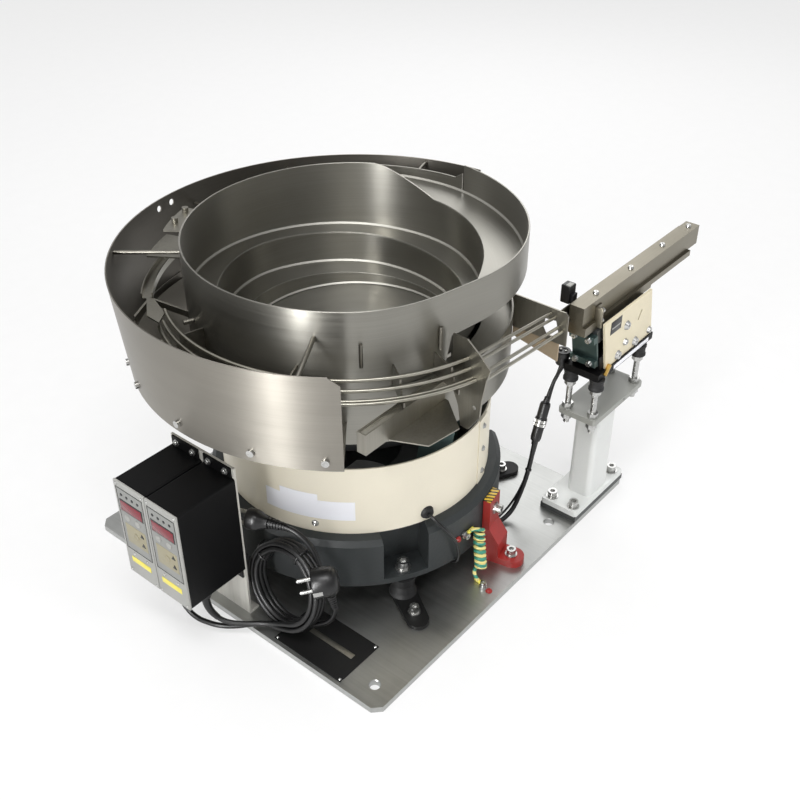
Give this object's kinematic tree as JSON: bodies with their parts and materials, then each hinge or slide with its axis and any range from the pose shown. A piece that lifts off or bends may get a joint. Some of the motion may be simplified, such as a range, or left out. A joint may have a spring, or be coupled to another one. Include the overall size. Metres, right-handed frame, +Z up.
{
  "type": "vibratory bowl feeder",
  "caption": "Vibratory bowl feeder: stepped spiral steel bowl on a round spring drive, guard pan, rod track and linear feeder on a pedestal, with controllers on one base plate.",
  "frame": {"origin": "centre of the four mounting holes, on the underside of the base plate", "axes": "+Z up, +X the feed direction, from the bowl to the end of the straight track; the pedestal is on the -Y side"},
  "size_m": [0.7785, 0.531, 0.433],
  "materials": {
    "base_plate": "brushed, clear anodised",
    "black_paint": "satin black",
    "zinc_hardware": "bright zinc",
    "casting": "painted dark grey",
    "drum": "cream gloss paint",
    "rubber": "matt black",
    "spring": "dark grey-green",
    "dark_metal": "dark bronze",
    "bowl_steel": "circumferentially brushed stainless",
    "guard_steel": "brushed stainless sheet",
    "rod_steel": "bright rod",
    "tan_sheet": "tan",
    "pedestal": "pale grey paint",
    "track_steel": "ground steel",
    "black_plastic": "fine-grained black",
    "cord": "satin black sheath",
    "ground_cord": "green with a yellow stripe",
    "red_paint": "red gloss paint"
  },
  "bodies": {
    "root": {"base_plate": "base_plate", "name_plate": "black_paint", "name_plate_rivets": "zinc_hardware", "drive_casting": "casting", "foot_straps": "black_paint", "foot_rubbers": "rubber", "drive_bolts": "zinc_hardware", "drum": "drum", "drum_screws": "zinc_hardware", "cable_grommet": "rubber", "spring_packs": "spring", "drive_magnet": "dark_metal", "drive_top": "black_paint", "bowl_steps": "bowl_steel", "bowl_skirt": "bowl_steel", "guard": "guard_steel", "guard_screws": "zinc_hardware", "pan_floor": "bowl_steel", "stay_rods": "rod_steel", "guide_rods": "rod_steel", "exit_rods": "rod_steel", "track_plates": "guard_steel", "return_chute": "guard_steel", "exit_bracket": "guard_steel", "exit_plate": "guard_steel", "exit_guard": "tan_sheet", "foot_spacer": "dark_metal", "foot_plate": "pedestal", "column": "pedestal", "top_plate": "pedestal", "pedestal_bolts": "zinc_hardware", "feeder_studs": "zinc_hardware", "feeder_mounts": "rubber", "feeder_base": "black_paint", "feeder_springs": "spring", "feeder_block": "dark_metal", "side_plate_front": "drum", "side_plate_back": "drum", "feeder_screws": "zinc_hardware", "track_bar": "track_steel", "track_strip": "track_steel", "track_base": "dark_metal", "end_bracket": "pedestal", "sensor": "black_plastic", "bracket_plate": "pedestal", "case_1": "black_plastic", "case_2": "black_plastic", "panel_1": "pedestal", "panel_2": "pedestal", "cord_glands": "black_plastic", "power_cords": "cord", "cord_coil": "cord", "plug_1": "black_plastic", "plug_2": "black_plastic", "signal_cable": "cord", "connectors": "black_plastic", "drum_cable": "cord", "ground_wire": "ground_cord", "locking_bracket": "red_paint"}
  },
  "joints": []
}
